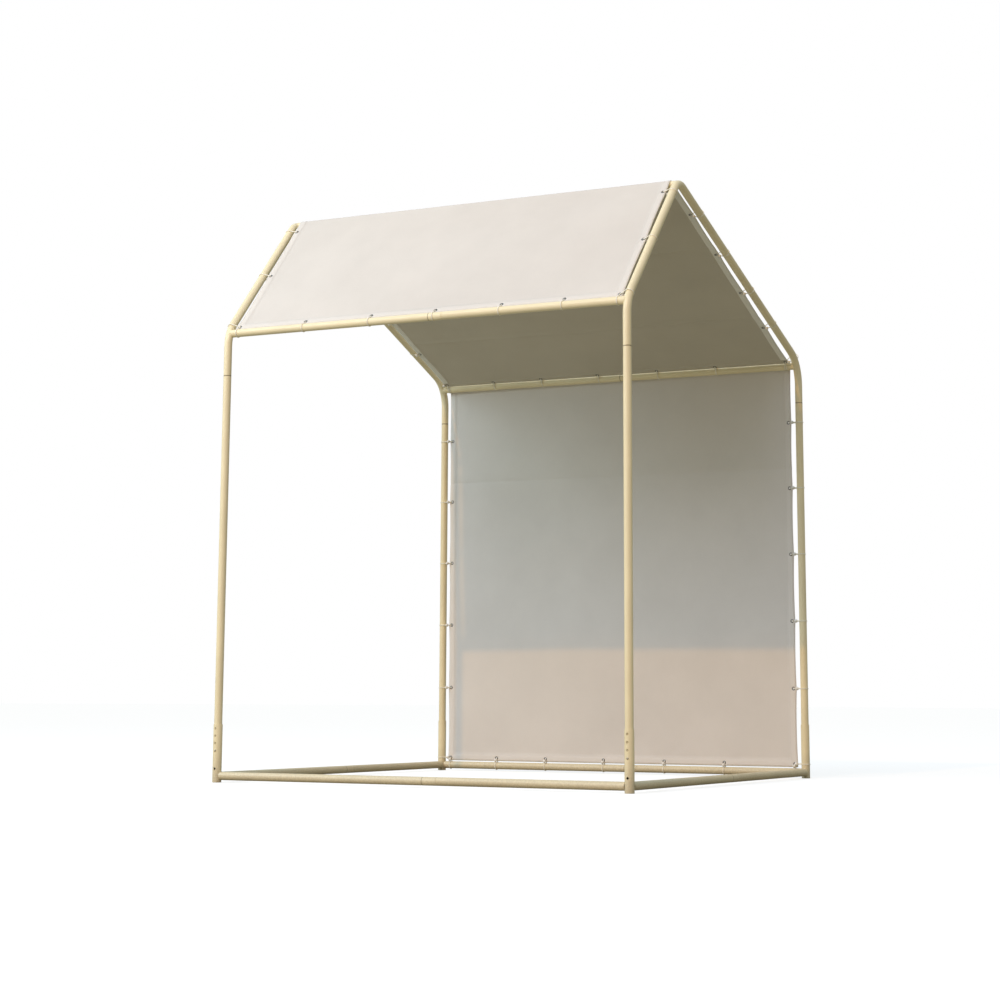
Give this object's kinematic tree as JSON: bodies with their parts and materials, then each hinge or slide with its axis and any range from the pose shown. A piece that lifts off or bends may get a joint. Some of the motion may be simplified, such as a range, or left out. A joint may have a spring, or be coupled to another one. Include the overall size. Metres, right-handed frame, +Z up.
{
  "type": "screen house",
  "caption": "House-shaped garden shelter of round steel tube, with a laced fabric roof and back wall, open front and sides, and telescoping legs locked by sprung buttons.",
  "frame": {"origin": "on the ground at the middle of the base rectangle", "axes": "+Z up, +Y towards the closed back wall, +X to the right of someone who looks in from the front"},
  "size_m": [1.5962, 1.618, 2.0571],
  "materials": {
    "cream_tube": "satin cream powder coat",
    "foot_cap": "matt moulded plastic",
    "button_steel": "zinc plated",
    "shelter_fabric": "coated woven polyester"
  },
  "bodies": {
    "base_frame": {"leg_sleeve_front_left": "cream_tube", "leg_sleeve_front_right": "cream_tube", "leg_sleeve_rear_left": "cream_tube", "leg_sleeve_rear_right": "cream_tube", "foot_cap_front_left": "foot_cap", "foot_cap_front_right": "foot_cap", "foot_cap_rear_left": "foot_cap", "foot_cap_rear_right": "foot_cap", "base_rail_front_left_half": "cream_tube", "base_rail_front_right_half": "cream_tube", "base_rail_rear_left_half": "cream_tube", "base_rail_rear_right_half": "cream_tube", "base_rail_left_front_half": "cream_tube", "base_rail_left_rear_half": "cream_tube", "base_rail_right_front_half": "cream_tube", "base_rail_right_rear_half": "cream_tube"},
    "upper_frame": {"upright_front_left": "cream_tube", "upright_front_right": "cream_tube", "upright_rear_left": "cream_tube", "upright_rear_right": "cream_tube", "eave_bend_front_left": "cream_tube", "eave_bend_front_right": "cream_tube", "eave_bend_rear_left": "cream_tube", "eave_bend_rear_right": "cream_tube", "ridge_bend_left": "cream_tube", "ridge_bend_right": "cream_tube", "eave_rail_front_left_half": "cream_tube", "eave_rail_front_right_half": "cream_tube", "eave_rail_rear_left_half": "cream_tube", "eave_rail_rear_right_half": "cream_tube", "ridge_tube_left_half": "cream_tube", "ridge_tube_right_half": "cream_tube", "roof_canopy": "shelter_fabric", "back_wall": "shelter_fabric", "button_spring_front_left": "button_steel", "button_spring_front_right": "button_steel", "button_spring_rear_left": "button_steel", "button_spring_rear_right": "button_steel"},
    "button_front_left": {"snap_button_front_left": "button_steel"},
    "button_front_right": {"snap_button_front_right": "button_steel"},
    "button_rear_left": {"snap_button_rear_left": "button_steel"},
    "button_rear_right": {"snap_button_rear_right": "button_steel"}
  },
  "joints": [
    {"name": "height_adjust", "type": "slide", "parent": "base_frame", "child": "upper_frame", "axis": [0, 0, 1], "range_m": [0, 0.075], "deforming": ["snap_button_front_left", "button_spring_front_left", "snap_button_front_right", "button_spring_front_right", "snap_button_rear_left", "button_spring_rear_left", "snap_button_rear_right", "button_spring_rear_right"]},
    {"name": "press_front_left", "type": "slide", "parent": "upper_frame", "child": "button_front_left", "axis": [0, 1, 0], "range_m": [0, 0.004], "stiffness_N_per_m": 500, "springref_m": -0.003, "deforming": ["button_spring_front_left"]},
    {"name": "press_front_right", "type": "slide", "parent": "upper_frame", "child": "button_front_right", "axis": [0, 1, 0], "range_m": [0, 0.004], "stiffness_N_per_m": 500, "springref_m": -0.003, "deforming": ["button_spring_front_right"]},
    {"name": "press_rear_left", "type": "slide", "parent": "upper_frame", "child": "button_rear_left", "axis": [0, -1, 0], "range_m": [0, 0.004], "stiffness_N_per_m": 500, "springref_m": -0.003, "deforming": ["button_spring_rear_left"]},
    {"name": "press_rear_right", "type": "slide", "parent": "upper_frame", "child": "button_rear_right", "axis": [0, -1, 0], "range_m": [0, 0.004], "stiffness_N_per_m": 500, "springref_m": -0.003, "deforming": ["button_spring_rear_right"]}
  ]
}
